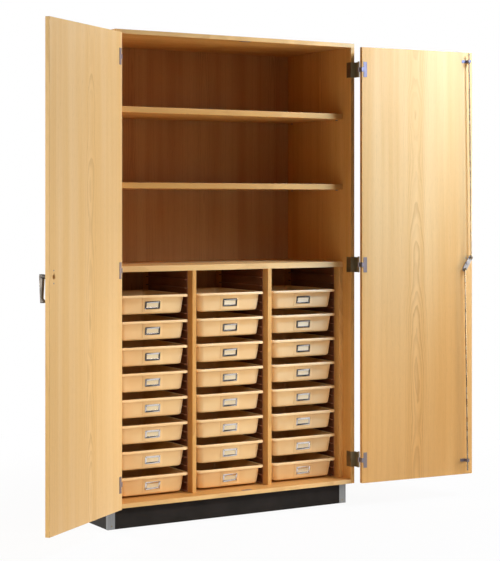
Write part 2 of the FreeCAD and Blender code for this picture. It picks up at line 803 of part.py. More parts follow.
def make_rod(name, direction):
    """A round rod from its eye over the cam's end to the edge of the door, leaning a little."""
    eye = cylinder(f"{name}_eye", "rod_eye_radius", "rod_eye_thickness",
                   ("0", "cam_lift + cam_thickness + rod_eye_gap - rod_lift", "0"), "y")
    rivet = cylinder(f"{name}_rivet", "rivet_radius", "rivet_height + rod_radius", ("0", "0", "0"), "y")
    pin_x = f"-{direction} * pin_across"
    pin_z = f"{direction} * pin_along"
    end_z = "upper_rod_end - handle_height" if direction > 0 else "lower_rod_end - handle_height"
    run = Vector(size(f"-{direction} * rod_lean - ({pin_x})"), 0, size(f"{end_z} - ({pin_z})"))
    shaft = cylinder(f"{name}_shaft", "rod_radius", "rod_radius", ("0", "0", "0"))
    shaft.setExpression("Height", None)
    shaft.Height = run.Length
    shaft.Placement = FreeCAD.Placement(Vector(), Rotation(Vector(0, 0, 1), run))
    rod = fuse(name, [eye, rivet, shaft])
    start = Vector(size(f"latch_x + {pin_x}"), size("rod_y"), size(f"handle_height + {pin_z}"))
    rod.Placement = door_swing("right").multiply(FreeCAD.Placement(start, Rotation()))
    return rod


def make_guides():
    guides = []
    for name, (x, height) in guide_places.items():
        low = f"{height} - guide_block / 2"
        depth = "rod_lift + guide_block / 2"
        block_at = (f"{x} - guide_block / 2", "door_inner", low)
        block = box(f"{name}_guide_block", block_at, "guide_block", depth, "guide_block")
        flange = box(f"{name}_guide_flange", (x, "door_inner", low), "guide_block / 2 + guide_flange",
                     "leaf_thickness", "guide_block")
        bore_at = (x, "rod_y", f"{low} - overrun")
        bore = cylinder(f"{name}_guide_bore", "guide_bore", "guide_block + 2 * overrun", bore_at)
        at = guide_screw_places[0 if name == "upper" else 1]
        cutters = [bore] + cutter_set(f"{name}_guide", [at], "-y")
        guides.append(cut(f"{name}_guide", fuse(f"{name}_guide_blank", [block, flange]), cutters))
    return group("rod_guides", guides)


def make_doors():
    left_bore_at = ("-latch_x", "door_inner + overrun", "handle_height")
    left_bore = cylinder("left_lock_bore", "left_door_bore", "door_thickness + 2 * overrun", left_bore_at, "-y")
    right_bore_at = ("latch_x", "door_inner + overrun", "handle_height")
    right_bore = cylinder("spindle_hole", "spindle_bore", "door_thickness + 2 * overrun", right_bore_at, "-y")
    left_door = make_door("left", [left_bore])
    right_door = make_door("right", [right_bore] + cutter_set("right_guides", guide_screw_places, "-y"))
    door_leaf = make_door_leaf()
    left_leaves = group("left_hinge_leaves", hinge_copies("door_leaf", door_leaf, ["left"]))
    right_leaves = group("right_hinge_leaves", hinge_copies("door_leaf", door_leaf, ["right"]))
    left_screws = screw_set("left_door", door_screw_places(-1), "-y")
    left_screws += screw_set("left_handle", handle_screw_places(-1), "-y")
    right_screws = screw_set("right_door", door_screw_places(1), "-y")
    right_screws += screw_set("right_handle", handle_screw_places(1), "-y")
    right_screws += screw_set("guide", guide_screw_places, "-y")
    left_pieces = [left_door, left_leaves, group("left_door_screws", left_screws)]
    right_pieces = [right_door, right_leaves, make_guides(), group("right_door_screws", right_screws)]
    for name, pieces in (("left", left_pieces), ("right", right_pieces)):
        for piece in pieces:
            piece.Placement = door_swing(name)
            parts.append(piece)


def make_handles():
    rose = make_rose()
    lever = make_lever()
    left_lever = make_handle("left_lever", lever, None)
    left_handle = group("left_handle", [rose, left_lever])
    left_handle.Placement = handle_place("left")
    handle_rose = group("handle_rose", [rose])
    handle_rose.Placement = handle_place("right")
    turn = Rotation(Vector(0, 1, 0), -size("latch_angle"))
    right_handle = make_handle("right_handle", lever, "door_thickness + cam_lift + cam_thickness")
    right_handle.Placement = handle_place("right", turn)
    cam = make_cam()
    inner_face = FreeCAD.Placement(Vector(0, size("door_thickness"), 0), Rotation())
    cam.Placement = handle_place("right", turn).multiply(inner_face)
    parts.extend([left_handle, handle_rose, right_handle, cam])
    parts.extend([make_rod("upper_rod", 1), make_rod("lower_rod", -1)])


# Tote trays: one moulded tray with its label holder, repeated down three columns.

def make_tray_shell():
    body = doc.addObject("PartDesign::Body", "tray_shell")
    outline = new_sketch(body, "tray_outline", "XY_Plane")
    draw_rounded_rectangle(outline, "body", "body_width", "body_length", "tray_corner")
    walls = pad(body, "tray_walls", outline, "tray_height", downwards=True, taper="-tray_draft")
    base_height = -size("tray_height")
    round_edges(body, "tray_base_fillet", walls, lambda edge: near(edge.BoundBox.ZMax, base_height),
                "tray_base_round")
    patch = new_sketch(body, "label_pad_outline", "XY_Plane")
    front = "-(body_length / 2 + label_pad_proud)"
    half_pad = "label_pad_width / 2"
    draw_polygon(patch, [(f"-{half_pad}", front), (half_pad, front), (half_pad, f"{front} / 2"),
                         (f"-{half_pad}", f"{front} / 2")])
    pad(body, "label_pad", patch, "label_pad_height", downwards=True, taper="-tray_draft")
    rim_outline = new_sketch(body, "rim_outline", "XY_Plane")
    draw_rounded_rectangle(rim_outline, "rim", "tray_width", "tray_length", "rim_corner")
    rim = pad(body, "rim", rim_outline, "rim_height", downwards=True)
    half_width = size("tray_width / 2")
    half_length = size("tray_length / 2")
    corner_x = half_width - size("rim_corner")
    corner_y = half_length - size("rim_corner")

    def on_rim_top(edge):
        middle = edge.CenterOfMass
        if not near(edge.BoundBox.ZMin, 0):
            return False
        if near(abs(middle.x), half_width) or near(abs(middle.y), half_length):
            return True
        return abs(middle.x) > corner_x and abs(middle.y) > corner_y

    round_edges(body, "rim_fillet", rim, on_rim_top, "rim_round")
    hollow = new_sketch(body, "hollow_outline", "XY_Plane")
    draw_rounded_rectangle(hollow, "hollow", "body_width - 2 * tray_wall", "body_length - 2 * tray_wall",
                           "tray_corner - tray_wall")
    pocket(body, "hollow", hollow, "tray_height - tray_wall", taper="-tray_draft")
    channel = new_sketch(body, "channel_outline", "XY_Plane", "-rim_height")
    draw_rounded_rectangle(channel, "outer", "tray_width - 2 * tray_wall", "tray_length - 2 * tray_wall",
                           "rim_corner - tray_wall")
    draw_rounded_rectangle(channel, "inner", "body_width + 2 * tray_wall", "body_length + 2 * tray_wall",
                           "tray_corner + tray_wall")
    pocket(body, "channel", channel, "rim_height - tray_wall", upwards=True)
    return body


def make_label_holder():
    body = doc.addObject("PartDesign::Body", "label_holder")
    outline = new_sketch(body, "holder_outline", "XY_Plane")
    draw_rounded_rectangle(outline, "holder", "label_width", "label_height", "label_corner")
    window_width = "label_width - 2 * label_border"
    window_height = "label_height - 2 * label_border"
    draw_rounded_rectangle(outline, "window", window_width, window_height, "label_corner / 2")
    pad(body, "holder", outline, "label_thickness")
    lean = Rotation(Vector(1, 0, 0), 90 + size("tray_draft"))
    front = "-(body_length / 2 + label_pad_proud) + label_drop * tan(tray_draft)"
    return place(body, ("0", front, "-label_drop"), lean)


def make_trays():
    shell = make_tray_shell()
    holder = make_label_holder()
    for name, column in columns.items():
        for row in range(tray_rows):
            tray = group(f"tray_{name}_{tray_rows - row}", [shell, holder])
            place(tray, (f"{column} * column_pitch", "tray_centre", f"tray_rim_top + {row} * tray_pitch"))
            parts.append(tray)


def write_parts():
    doc.recompute()
    for thing in doc.Objects:
        if "Invalid" in thing.State or "Error" in thing.State:
            raise RuntimeError(f"{thing.Label} failed: {thing.State}")
    for thing in parts:
        if thing.Shape.isNull() or not thing.Shape.isValid():
            raise RuntimeError(thing.Label + " has no valid shape")
    os.makedirs("parts", exist_ok=True)
    for thing in parts:
        thing.Shape.exportStep(f"parts/{thing.Label}.step")
    solids = sum(len(thing.Shape.Solids) for thing in parts)
    print(f"{len(parts)} sub-parts, {solids} solids")


fill_sheet()
parts = []
screw = make_screw()
screw_cutter = make_screw_cutter()
doc.recompute()
parts += [make_side("left"), make_side("right"), make_top_panel(), make_bottom_panel(), make_back_panel()]
parts.append(make_shelf("fixed_shelf", "fixed_shelf_height", "0"))
parts.append(make_shelf("lower_shelf", "lower_shelf_under", "shelf_end_gap"))
parts.append(make_shelf("upper_shelf", "upper_shelf_under", "shelf_end_gap"))
parts.append(make_column_wall("left_liner", "-inner_half"))
parts.append(make_column_wall("left_divider", "-column_width / 2 - panel_thickness"))
parts.append(make_column_wall("right_divider", "column_width / 2"))
parts.append(make_column_wall("right_liner", "inner_half - panel_thickness"))
parts += [make_shelf_pins(), make_runners()]
make_base()
parts += [make_corner_plates(), make_strikes(), make_carcass_screws()]
parts.append(group("hinge_frame_leaves", hinge_copies("frame_leaf", make_frame_leaf(), ["left", "right"])))
parts.append(make_hinge_pins())
make_doors()
make_handles()
make_trays()
write_parts()
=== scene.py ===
import bpy
import bmesh
import json
import math
from mathutils import Euler, Matrix, Vector


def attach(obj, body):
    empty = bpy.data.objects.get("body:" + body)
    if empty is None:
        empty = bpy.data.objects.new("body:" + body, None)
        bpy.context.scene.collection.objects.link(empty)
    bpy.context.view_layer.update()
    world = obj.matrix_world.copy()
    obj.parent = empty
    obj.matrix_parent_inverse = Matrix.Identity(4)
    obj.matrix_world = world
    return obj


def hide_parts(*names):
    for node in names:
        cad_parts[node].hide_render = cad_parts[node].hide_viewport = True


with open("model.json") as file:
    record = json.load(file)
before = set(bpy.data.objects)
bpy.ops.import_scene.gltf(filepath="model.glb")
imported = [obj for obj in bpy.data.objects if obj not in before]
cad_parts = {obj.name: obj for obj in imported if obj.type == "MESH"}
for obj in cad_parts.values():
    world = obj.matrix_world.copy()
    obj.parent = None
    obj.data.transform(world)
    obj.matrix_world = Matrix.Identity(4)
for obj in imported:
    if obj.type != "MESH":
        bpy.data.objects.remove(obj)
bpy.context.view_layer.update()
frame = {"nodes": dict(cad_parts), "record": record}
nodes = frame["nodes"]
mm = 0.001
bodyOf = {}
for bodyName, members in frame["record"]["behaviour"]["bodies"].items():
    for member in members:
        bodyOf[member] = bodyName


# colours are picked as screen values and turned linear here, by the sRGB curve
def screenColour(red, green, blue):
    def linear(part):
        part = part / 255
        return part / 12.92 if part <= 0.04045 else ((part + 0.055) / 1.055) ** 2.4
    return (linear(red), linear(green), linear(blue), 1.0)


def addObject(name, data):
    thing = bpy.data.objects.new(name, data)
    bpy.context.scene.collection.objects.link(thing)
    return thing


# small helpers for wiring node trees
def addNode(tree, kind, **settings):
    node = tree.nodes.new(kind)
    for name, value in settings.items():
        setattr(node, name, value)
    return node


def feed(tree, value, socket):
    if isinstance(value, bpy.types.NodeSocket):
        tree.links.new(value, socket)
    else:
        socket.default_value = value


def calc(tree, operation, first, second=None, third=None):
    node = addNode(tree, "ShaderNodeMath", operation=operation)
    for place, value in enumerate((first, second, third)):
        if value is not None:
            feed(tree, value, node.inputs[place])
    return node.outputs[0]


def smoothStep(tree, value, low, high):
    node = addNode(tree, "ShaderNodeMapRange", interpolation_type="SMOOTHSTEP")
    feed(tree, value, node.inputs["Value"])
    feed(tree, low, node.inputs["From Min"])
    feed(tree, high, node.inputs["From Max"])
    return node.outputs["Result"]


def splitVector(tree, vector):
    node = addNode(tree, "ShaderNodeSeparateXYZ")
    feed(tree, vector, node.inputs[0])
    return node.outputs


def joinVector(tree, x, y, z):
    node = addNode(tree, "ShaderNodeCombineXYZ")
    for place, value in enumerate((x, y, z)):
        feed(tree, value, node.inputs[place])
    return node.outputs[0]


def noiseValue(tree, vector, scale, detail):
    node = addNode(tree, "ShaderNodeTexNoise")
    feed(tree, vector, node.inputs["Vector"])
    feed(tree, scale, node.inputs["Scale"])
    feed(tree, detail, node.inputs["Detail"])
    return node.outputs["Fac"]


def blendColour(tree, amount, first, second):
    node = addNode(tree, "ShaderNodeMix", data_type="RGBA")
    feed(tree, amount, node.inputs["Factor"])
    feed(tree, first, node.inputs["A"])
    feed(tree, second, node.inputs["B"])
    return node.outputs["Result"]


def mixShaders(tree, amount, first, second):
    node = addNode(tree, "ShaderNodeMixShader")
    for place, value in enumerate((amount, first, second)):
        feed(tree, value, node.inputs[place])
    return node.outputs[0]


def newGroup(name, inputs, outputs):
    tree = bpy.data.node_groups.new(name, "ShaderNodeTree")
    for socketName, default in inputs.items():
        kind = "NodeSocketVector" if default is None else "NodeSocketFloat"
        socket = tree.interface.new_socket(socketName, in_out="INPUT", socket_type=kind)
        if default is not None:
            socket.default_value = default
    for socketName in outputs:
        tree.interface.new_socket(socketName, in_out="OUTPUT", socket_type="NodeSocketFloat")
    return tree, addNode(tree, "NodeGroupInput").outputs, addNode(tree, "NodeGroupOutput").inputs


# plain-sliced oak: growth rings cut by the veneer knife, so arches run up the middle of each leaf
oakGrain = {
    # each noise: stretch across the leaf, through it and along it, then detail
    "drift": (5.0, 1.0, 1.1, 3.0), "waver": (45.0, 45.0, 9.0, 2.0),
    "dashes": (1300.0, 1300.0, 30.0, 1.0), "bands": (14.0, 14.0, 0.5, 3.0),
    # how far the noises push the rings, in metres
    "driftReach": 0.035, "waverReach": 0.005, "swayReach": 0.045,
    "swayAlong": 2.3, "swayDetail": 1.0, "seedAlong": 3.7,
    # late wood darkens slowly through a ring and ends sharply, and some rings are stronger than others
    "ringRise": (0.2, 0.85), "ringFall": (0.9, 1.0), "ringLeast": 0.25, "ringChance": 0.75,
    # the figure is strongest in the arches, this far from the leaf's middle
    "flameEdge": (0.012, 0.075), "flameLeast": 0.65, "flameRise": 0.35,
    "poreEdge": (0.56, 0.72), "poreLeast": 0.4, "poreRise": 0.6,
    "bandEdge": (0.3, 0.7), "ringHollow": 0.25, "poreHollow": 0.75,
}


# Cut is how much the way through the leaf counts: near nothing, it leaves straight grain on every face
def buildOakFigure():
    inputs = {"Vector": None, "LeafWidth": 0.6, "RingGap": 0.012, "Slope": 0.1, "Seed": 0.0, "Cut": 1.0}
    tree, given, result = newGroup("oakFigure", inputs, ("Figure", "Pores", "Tone", "Height"))
    x, y, z = splitVector(tree, given["Vector"])
    up = calc(tree, "MULTIPLY_ADD", given["Seed"], oakGrain["seedAlong"], z)
    across = calc(tree, "ADD", x, given["Seed"])

    def grainNoise(name):
        wide, thick, along, detail = oakGrain[name]
        stretched = joinVector(tree, calc(tree, "MULTIPLY", across, wide), calc(tree, "MULTIPLY", y, thick),
                               calc(tree, "MULTIPLY", up, along))
        return noiseValue(tree, stretched, 1.0, detail)

    halfLeaf = calc(tree, "MULTIPLY", given["LeafWidth"], 0.5)
    folded = calc(tree, "PINGPONG", calc(tree, "ADD", x, halfLeaf), given["LeafWidth"])
    side = calc(tree, "SUBTRACT", folded, halfLeaf)
    swayPlace = joinVector(tree, given["Seed"], 0.0, calc(tree, "MULTIPLY", up, oakGrain["swayAlong"]))
    sway = noiseValue(tree, swayPlace, 1.0, oakGrain["swayDetail"])
    below = calc(tree, "MULTIPLY", y, given["Cut"])
    below = calc(tree, "MULTIPLY_ADD", sway, oakGrain["swayReach"], below)
    depth = calc(tree, "MULTIPLY_ADD", z, given["Slope"], below)
    reach = calc(tree, "ADD", calc(tree, "MULTIPLY", side, side), calc(tree, "MULTIPLY", depth, depth))
    radius = calc(tree, "SQRT", reach)
    radius = calc(tree, "MULTIPLY_ADD", grainNoise("drift"), oakGrain["driftReach"], radius)
    radius = calc(tree, "MULTIPLY_ADD", grainNoise("waver"), oakGrain["waverReach"], radius)
    turns = calc(tree, "DIVIDE", radius, given["RingGap"])
    ring = calc(tree, "FRACT", turns)
    chance = addNode(tree, "ShaderNodeTexWhiteNoise", noise_dimensions="1D")
    feed(tree, calc(tree, "FLOOR", turns), chance.inputs["W"])
    rise = smoothStep(tree, ring, *oakGrain["ringRise"])
    fall = calc(tree, "SUBTRACT", 1.0, smoothStep(tree, ring, *oakGrain["ringFall"]))
    strength = calc(tree, "MULTIPLY_ADD", chance.outputs["Value"], oakGrain["ringChance"],
                    oakGrain["ringLeast"])
    outside = smoothStep(tree, calc(tree, "ABSOLUTE", side), *oakGrain["flameEdge"])
    flame = calc(tree, "SUBTRACT", 1.0, outside)
    flameShare = calc(tree, "MULTIPLY_ADD", flame, oakGrain["flameRise"], oakGrain["flameLeast"])
    strength = calc(tree, "MULTIPLY", strength, flameShare)
    figure = calc(tree, "MULTIPLY", calc(tree, "MULTIPLY", rise, fall), strength)
    pores = smoothStep(tree, grainNoise("dashes"), *oakGrain["poreEdge"])
    poreShare = calc(tree, "MULTIPLY_ADD", figure, oakGrain["poreRise"], oakGrain["poreLeast"])
    pores = calc(tree, "MULTIPLY", pores, poreShare)
    hollow = calc(tree, "MULTIPLY", pores, oakGrain["poreHollow"])
    hollow = calc(tree, "MULTIPLY_ADD", figure, oakGrain["ringHollow"], hollow)
    feed(tree, figure, result["Figure"])
    feed(tree, pores, result["Pores"])
    feed(tree, smoothStep(tree, grainNoise("bands"), *oakGrain["bandEdge"]), result["Tone"])
    feed(tree, calc(tree, "SUBTRACT", 1.0, hollow), result["Height"])
    return tree


# moulded plastic: a fine spark texture and slow clouds of tone
skinGrain = {"fineDetail": 1.0, "cloudScale": 9.0, "cloudDetail": 2.0, "cloudEdge": (0.3, 0.7)}


def buildMouldedSkin():
    tree, given, result = newGroup("mouldedSkin", {"Vector": None, "Grain": 900.0}, ("Tone", "Height"))
    fine = noiseValue(tree, given["Vector"], given["Grain"], skinGrain["fineDetail"])
    clouds = noiseValue(tree, given["Vector"], skinGrain["cloudScale"], skinGrain["cloudDetail"])
    feed(tree, smoothStep(tree, clouds, *skinGrain["cloudEdge"]), result["Tone"])
    feed(tree, fine, result["Height"])
    return tree


# metal: brushing along one way, with dull handled patches
metalGrain = {"brushAlong": 14.0, "brushDetail": 2.0, "patchScale": 30.0, "patchDetail": 3.0,
              "patchEdge": (0.35, 0.75)}


def buildMetalFinish():
    outputs = ("Tone", "Dull", "Height")
    tree, given, result = newGroup("metalFinish", {"Vector": None, "Brush": 400.0}, outputs)
    x, y, z = splitVector(tree, given["Vector"])
    stretched = joinVector(tree, calc(tree, "MULTIPLY", x, given["Brush"]),
                           calc(tree, "MULTIPLY", y, given["Brush"]),
                           calc(tree, "MULTIPLY", z, metalGrain["brushAlong"]))
    lines = noiseValue(tree, stretched, 1.0, metalGrain["brushDetail"])
    patches = noiseValue(tree, given["Vector"], metalGrain["patchScale"], metalGrain["patchDetail"])
    feed(tree, lines, result["Tone"])
    feed(tree, smoothStep(tree, patches, *metalGrain["patchEdge"]), result["Dull"])
    feed(tree, lines, result["Height"])
    return tree


oakFigure = buildOakFigure()
mouldedSkin = buildMouldedSkin()
metalFinish = buildMetalFinish()


def newMaterial(name):
    material = bpy.data.materials.new(name)
    material.use_nodes = True
    tree = material.node_tree
    shader = tree.nodes["Principled BSDF"]
    coords = addNode(tree, "ShaderNodeTexCoord").outputs["Object"]
    return material, tree, shader, coords


def placeGroup(tree, group, vector, **values):
    node = addNode(tree, "ShaderNodeGroup", node_tree=group)
    feed(tree, vector, node.inputs["Vector"])
    for name, value in values.items():
        node.inputs[name].default_value = value
    return node.outputs


def bumpFrom(tree, shader, height, strength, distance):
    bump = addNode(tree, "ShaderNodeBump")
    bump.inputs["Strength"].default_value = strength
    bump.inputs["Distance"].default_value = distance
    feed(tree, height, bump.inputs["Height"])
    feed(tree, bump.outputs["Normal"], shader.inputs["Normal"])


# oak tones: warm is the plain oak, and amber, a little paler than warm, is the right door's; pale is lighter
# oak as painted light, on the left door and the front edges; dull is darker, greyer oak as painted shade on
# the back panel
oakTones = {
    "warm": {"light": (231, 179, 107), "base": (219, 162, 88), "dark": (167, 105, 47),
             "pore": (120, 72, 32)},
    "pale": {"light": (241, 203, 144), "base": (236, 192, 125), "dark": (190, 138, 78),
             "pore": (140, 94, 50)},
    "amber": {"light": (235, 187, 119), "base": (225, 171, 99), "dark": (174, 114, 54),
              "pore": (126, 78, 36)},
    "dull": {"light": (214, 170, 118), "base": (200, 151, 100), "dark": (152, 101, 55),
             "pore": (110, 70, 38)},
}
oakVarnish = {
    "soft": {"specular": 0.12, "coat": 0.1, "coatRough": 0.44},
    "full": {"specular": 0.2, "coat": 0.25, "coatRough": 0.35},
}
oakLook = {"figureShare": 0.36, "poreShare": 0.3, "rough": 0.46, "poreRough": 0.25, "bump": 0.25,
           "bumpDepth": 0.0004}


def makeOak(name, place, turn, leafWidth, ringGap, slope, seed, tone="warm", sheen="soft", cut=1.0):
    tones = {part: screenColour(*colour) for part, colour in oakTones[tone].items()}
    varnish = oakVarnish[sheen]
    material, tree, shader, coords = newMaterial(name)
    mapping = addNode(tree, "ShaderNodeMapping", vector_type="TEXTURE")
    mapping.inputs["Location"].default_value = place
    mapping.inputs["Rotation"].default_value = turn
    feed(tree, coords, mapping.inputs["Vector"])
    oak = placeGroup(tree, oakFigure, mapping.outputs[0], LeafWidth=leafWidth, RingGap=ringGap, Slope=slope,
                     Seed=seed, Cut=cut)
    ground = blendColour(tree, oak["Tone"], tones["light"], tones["base"])
    figureShare = calc(tree, "MULTIPLY", oak["Figure"], oakLook["figureShare"])
    figured = blendColour(tree, figureShare, ground, tones["dark"])
    poreShare = calc(tree, "MULTIPLY", oak["Pores"], oakLook["poreShare"])
    feed(tree, blendColour(tree, poreShare, figured, tones["pore"]), shader.inputs["Base Color"])
    rough = calc(tree, "MULTIPLY_ADD", oak["Pores"], oakLook["poreRough"], oakLook["rough"])
    feed(tree, rough, shader.inputs["Roughness"])
    shader.inputs["Specular IOR Level"].default_value = varnish["specular"]
    shader.inputs["Coat Weight"].default_value = varnish["coat"]
    shader.inputs["Coat Roughness"].default_value = varnish["coatRough"]
    bumpFrom(tree, shader, oak["Height"], oakLook["bump"], oakLook["bumpDepth"])
    return material


# a door's grain is laid out as it stands at rest; arch is how far from the hinge its arches have their middle
doorSheets = {
    # the left door's pale tone is painted light: lighter oak standing in for lamp light on that door
    "leftDoor": {"hinge": (-0.6135, -0.3085, 0.0), "angle": -143.0, "arch": 0.28, "slope": 0.016, "seed": 2.0,
                 "tone": "pale"},
    "rightDoor": {"hinge": (0.6135, -0.3085, 0.0), "angle": 176.0, "arch": -0.3, "slope": 0.02, "seed": 7.3,
                  "tone": "amber"},
}
doorLeaf = {"leafWidth": 1.6, "ringGap": 0.005, "sheen": "full"}
grainAlongX = Matrix(((0, 0, 1), (1, 0, 0), (0, 1, 0))).to_euler()
grainUp = Euler((0.0, 0.0, 0.0))
carcassSheets = {
    "upright": {"place": (0.61, 0.02, 0.0), "turn": grainUp, "leafWidth": 0.42, "slope": 0.01, "seed": 4.1},
    "across": {"place": (0.05, 0.07, 0.0), "turn": grainAlongX, "leafWidth": 0.36, "slope": 0.01, "seed": 5.6,
               "cut": 0.02},
    # the back panel's dull tone is painted shade: darker, greyer oak for the deep interior
    "back": {"place": (0.12, 0.3, 0.0), "turn": grainUp, "leafWidth": 0.38, "slope": 0.012, "seed": 9.2,
             "tone": "dull"},
}
# the front edges take the pale tone as painted light on the faces that catch the lamps
carcassSheets["edge"] = dict(carcassSheets["across"], tone="pale")
carcassRingGap = 0.007


def doorOak(name, sheet):
    turn = Euler((0.0, 0.0, math.radians(sheet["angle"])))
    place = Vector(sheet["hinge"]) + turn.to_matrix() @ Vector((sheet["arch"], 0.0, 0.0))
    return makeOak(name, place, turn, slope=sheet["slope"], seed=sheet["seed"], tone=sheet["tone"],
                   **doorLeaf)


oakOf = {}
for sheetName, sheet in doorSheets.items():
    oakOf[sheetName] = doorOak(sheetName + "Oak", sheet)
for sheetName, sheet in carcassSheets.items():
    oakOf[sheetName] = makeOak(sheetName + "Oak", ringGap=carcassRingGap, **sheet)


plasticLook = {"roughSwing": 0.2, "bumpDepth": 0.0003}
plastics = {
    "trayPlastic": {"light": (247, 209, 149), "dark": (242, 199, 137), "rough": 0.32, "grain": 1100.0,
                    "bump": 0.06},
    # runner brown is darker than a tan moulding: partly painted shade for the deep gaps the runners sit in,
    # and their own colour is not known
    "runnerShadedPlastic": {"light": (140, 88, 56), "dark": (124, 76, 46), "rough": 0.45, "grain": 900.0,
                      "bump": 0.08},
    "baseBlack": {"light": (46, 43, 42), "dark": (38, 36, 35), "rough": 0.6, "grain": 500.0, "bump": 0.1,
                  "gloss": 0.12},
    "cardPaper": {"light": (236, 218, 178), "dark": (228, 206, 164), "rough": 0.75, "grain": 1600.0,
                  "bump": 0.05},
}


def makePlastic(name, light, dark, rough, grain, bump, gloss=0.5):
    material, tree, shader, coords = newMaterial(name)
    skin = placeGroup(tree, mouldedSkin, coords, Grain=grain)
    colour = blendColour(tree, skin["Tone"], screenColour(*light), screenColour(*dark))
    feed(tree, colour, shader.inputs["Base Color"])
    swing = calc(tree, "MULTIPLY_ADD", skin["Height"], plasticLook["roughSwing"], rough)
    feed(tree, swing, shader.inputs["Roughness"])
    shader.inputs["Specular IOR Level"].default_value = gloss
    bumpFrom(tree, shader, skin["Height"], bump, plasticLook["bumpDepth"])
    return material


metalLook = {"dullSwing": 0.18, "bumpDepth": 0.0002}
metals = {
    "plateAluminium": {"light": (150, 150, 150), "dark": (122, 124, 126), "rough": 0.42, "brush": 300.0,
                       "bump": 0.1},
    "steelMetal": {"light": (162, 152, 156), "dark": (132, 122, 128), "rough": 0.34, "brush": 350.0,
                   "bump": 0.06},
    "darkSteel": {"light": (156, 142, 114), "dark": (122, 109, 86), "rough": 0.36, "brush": 350.0,
                  "bump": 0.06},
    "handleMetal": {"light": (92, 88, 87), "dark": (66, 63, 62), "rough": 0.32, "brush": 300.0, "bump": 0.04},
    "rodMetal": {"light": (194, 182, 164), "dark": (152, 138, 120), "rough": 0.2, "brush": 200.0,
                 "bump": 0.02},
    "camMetal": {"light": (196, 196, 204), "dark": (150, 150, 160), "rough": 0.34, "brush": 200.0,
                 "bump": 0.02},
    "chromeMetal": {"light": (216, 218, 222), "dark": (200, 202, 206), "rough": 0.12, "brush": 200.0,
                    "bump": 0.02},
    "labelMetal": {"light": (226, 220, 216), "dark": (196, 190, 186), "rough": 0.1, "brush": 250.0,
                   "bump": 0.02},
}


def makeMetal(name, light, dark, rough, brush, bump):
    material, tree, shader, coords = newMaterial(name)
    finish = placeGroup(tree, metalFinish, coords, Brush=brush)
    colour = blendColour(tree, finish["Tone"], screenColour(*light), screenColour(*dark))
    feed(tree, colour, shader.inputs["Base Color"])
    swing = calc(tree, "MULTIPLY_ADD", finish["Dull"], metalLook["dullSwing"], rough)
    feed(tree, swing, shader.inputs["Roughness"])
    shader.inputs["Metallic"].default_value = 1.0
    bumpFrom(tree, shader, finish["Height"], bump, metalLook["bumpDepth"])
    return material


finishOf = {}
for finishName, look in plastics.items():
    finishOf[finishName] = makePlastic(finishName, **look)
for finishName, look in metals.items():
    finishOf[finishName] = makeMetal(finishName, **look)
print("finishes ready")


def roundEdges(shape, edges, width):
    bmesh.ops.bevel(shape, geom=edges, offset=width, offset_type="OFFSET", segments=2, profile=0.5,
                    affect="EDGES", material=-1, clamp_overlap=True)


easing = {"weld": 0.000005, "flat": math.radians(1.0), "sharp": math.radians(35)}


# a node's own mesh with its long sharp edges eased, as a sanded or deburred piece has them
def easedCopy(nodeName, width, shortest, materials, pick=None):
    shape = bmesh.new()
    shape.from_mesh(nodes[nodeName].data)
    bmesh.ops.remove_doubles(shape, verts=shape.verts, dist=easing["weld"])
    bmesh.ops.dissolve_limit(shape, angle_limit=easing["flat"], verts=shape.verts, edges=shape.edges)
    sharp = []
    for edge in shape.edges:
        if len(edge.link_faces) == 2 and edge.calc_face_angle(0.0) > easing["sharp"]:
            if edge.calc_length() > shortest:
                sharp.append(edge)
    roundEdges(shape, sharp, width)
    mesh = bpy.data.meshes.new(nodeName + "Eased")
    shape.to_mesh(mesh)
    shape.free()
    for material in materials:
        mesh.materials.append(material)
    for face in mesh.polygons:
        face.material_index = pick(face) if pick else 0
    piece = addObject(nodeName + "Eased", mesh)
    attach(piece, bodyOf[nodeName])
    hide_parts(nodeName)
    return piece


woodPieces = {
    "left_side": "upright", "right_side": "upright", "left_liner": "upright", "left_divider": "upright",
    "right_divider": "upright", "right_liner": "upright", "back_panel": "back", "top_panel": "across",
    "bottom_panel": "across", "fixed_shelf": "across", "lower_shelf": "across", "upper_shelf": "across",
    "left_door": "leftDoor", "right_door": "rightDoor",
}
woodEase = {"width": 0.9 * mm, "shortest": 15 * mm}
# the front-facing faces of these take the pale oak, as painted light on the fronts
bandedPieces = ("top_panel", "fixed_shelf", "bottom_panel")
forward = -0.9


def litFrontFace(face):
    return 1 if face.normal.y < forward else 0


for nodeName, oakName in woodPieces.items():
    if nodeName in bandedPieces:
        piece = easedCopy(nodeName, materials=[oakOf[oakName], oakOf["edge"]], pick=litFrontFace, **woodEase)
    else:
        piece = easedCopy(nodeName, materials=[oakOf[oakName]], **woodEase)

baseEase = {"width": 0.8 * mm, "shortest": 15 * mm}
for nodeName in ("base_front_rail", "base_rear_rail", "base_middle_rail", "base_side_rails"):
    easedCopy(nodeName, materials=[finishOf["baseBlack"]], **baseEase)

plateEase = {"width": 0.4 * mm, "shortest": 8 * mm}
plates = easedCopy("base_corner_plates", materials=[finishOf["plateAluminium"]], **plateEase)
print("panels eased")


# nodes that keep their own shape
fittings = {
    "tray_runners": "runnerShadedPlastic", "shelf_pins": "steelMetal", "latch_strikes": "steelMetal",
    "carcass_screws": "darkSteel", "left_door_screws": "steelMetal", "right_door_screws": "steelMetal",
    "hinge_frame_leaves": "darkSteel", "hinge_pins": "darkSteel", "left_hinge_leaves": "steelMetal",
    "right_hinge_leaves": "steelMetal", "rod_guides": "steelMetal", "left_handle": "handleMetal",
    "handle_rose": "chromeMetal", "right_handle": "handleMetal", "latch_cam": "camMetal",
    "upper_rod": "rodMetal", "lower_rod": "rodMetal",
}
for nodeName, finishName in fittings.items():
    nodes[nodeName].data.materials.clear()
    nodes[nodeName].data.materials.append(finishOf[finishName])
print("fittings finished")


